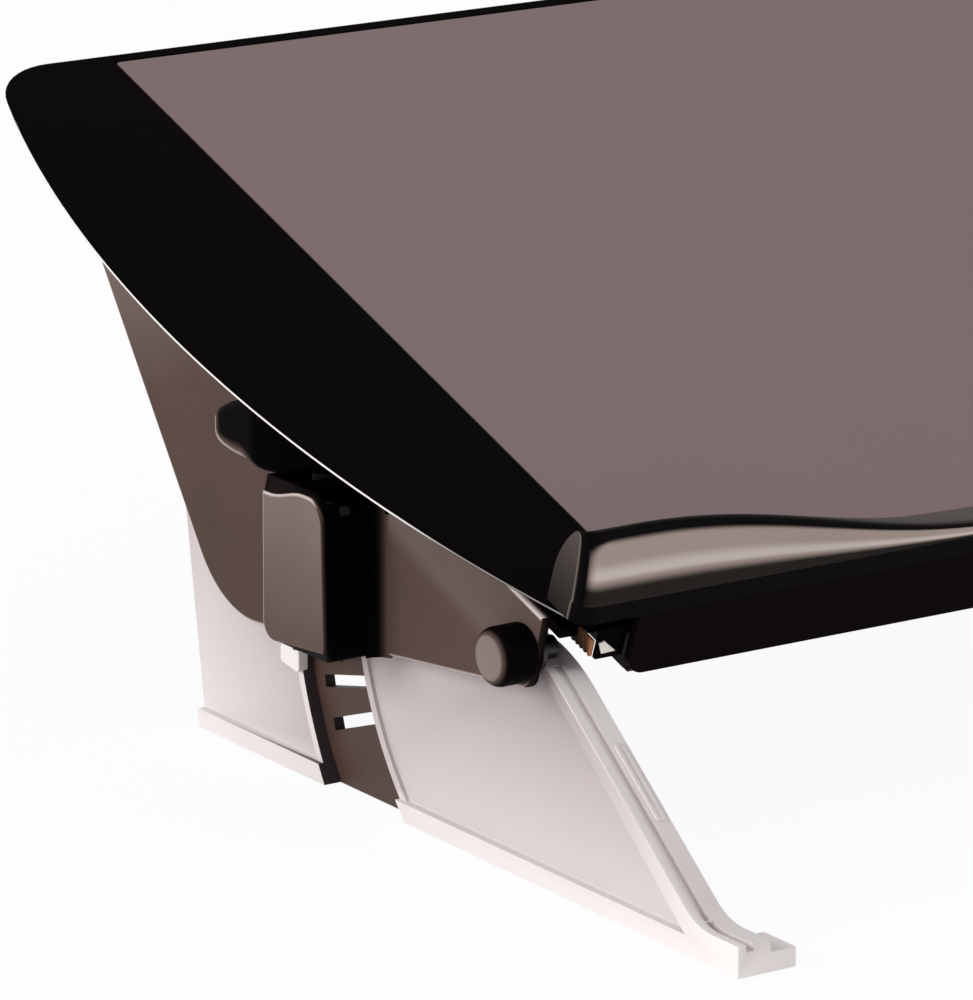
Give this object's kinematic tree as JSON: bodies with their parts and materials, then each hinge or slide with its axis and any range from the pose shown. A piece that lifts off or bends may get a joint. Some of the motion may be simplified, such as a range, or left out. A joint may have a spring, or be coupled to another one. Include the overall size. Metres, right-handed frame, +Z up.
{
  "type": "document platform",
  "caption": "Sloped desk platform for papers that slides towards the user on a tilting frame, carried by two frosted legs with a release lever on each side.",
  "frame": {"origin": "centre of the bounding box on the desk surface", "axes": "+X to the user's right along the pivot axis, +Y away from the user, +Z up"},
  "size_m": [0.5462, 0.3334, 0.1657],
  "materials": {
    "charcoal_plastic": "satin moulded ABS with a very fine grain",
    "panel_plastic": "satin moulded sheet",
    "frosted_plastic": "frosted, translucent polycarbonate",
    "insert_plastic": "moulded nylon",
    "brown_plastic": "moulded plug",
    "slide_plastic": "natural acetal",
    "black_steel": "black powder coat",
    "zinc_steel": "bright zinc plate",
    "spring_steel": "drawn wire",
    "foot_rubber": "soft pad"
  },
  "bodies": {
    "base": {"left_leg": "frosted_plastic", "right_leg": "frosted_plastic", "foot_pads": "foot_rubber", "left_slot_plate": "insert_plastic", "right_slot_plate": "insert_plastic", "slot_plate_screws": "zinc_steel"},
    "frame": {"left_side_cover": "charcoal_plastic", "right_side_cover": "charcoal_plastic", "left_rail": "black_steel", "right_rail": "black_steel", "rail_screws": "zinc_steel", "front_rail_caps": "brown_plastic", "rear_rail_caps": "brown_plastic", "cover_stops": "brown_plastic", "front_cross_tube": "black_steel", "rear_cross_tube": "black_steel", "left_pivot_pin": "zinc_steel", "right_pivot_pin": "zinc_steel", "left_pivot_knob": "charcoal_plastic", "right_pivot_knob": "charcoal_plastic", "pivot_washers": "zinc_steel", "left_lever_pin": "zinc_steel", "right_lever_pin": "zinc_steel", "left_lever_spring": "spring_steel", "right_lever_spring": "spring_steel"},
    "platform": {"platform_deck": "charcoal_plastic", "centre_panel": "panel_plastic", "front_lip": "charcoal_plastic", "front_apron": "charcoal_plastic", "apron_screws": "zinc_steel", "left_rear_runner": "slide_plastic", "right_rear_runner": "slide_plastic", "left_front_runner": "slide_plastic", "right_front_runner": "slide_plastic"},
    "left_lever": {"left_release_lever": "charcoal_plastic", "left_catch": "zinc_steel", "left_catch_screws": "zinc_steel"},
    "right_lever": {"right_release_lever": "charcoal_plastic", "right_catch": "zinc_steel", "right_catch_screws": "zinc_steel"}
  },
  "joints": [
    {"name": "tilt", "type": "hinge", "parent": "base", "child": "frame", "pos_m": [0, -0.08106, 0.0613], "axis": [1, 0, 0], "range_deg": [-12, 0]},
    {"name": "glide", "type": "slide", "parent": "frame", "child": "platform", "axis": [0, -0.9426, -0.3338], "range_m": [0, 0.11]},
    {"name": "left_lever", "type": "hinge", "parent": "frame", "child": "left_lever", "pos_m": [-0.255, -0.0017, 0.08346], "axis": [0, 1, 0], "range_deg": [-3, 12], "stiffness_Nm_per_rad": 0.3},
    {"name": "right_lever", "type": "hinge", "parent": "frame", "child": "right_lever", "pos_m": [0.255, -0.0017, 0.08346], "axis": [0, -1, 0], "range_deg": [-3, 12], "stiffness_Nm_per_rad": 0.3}
  ]
}
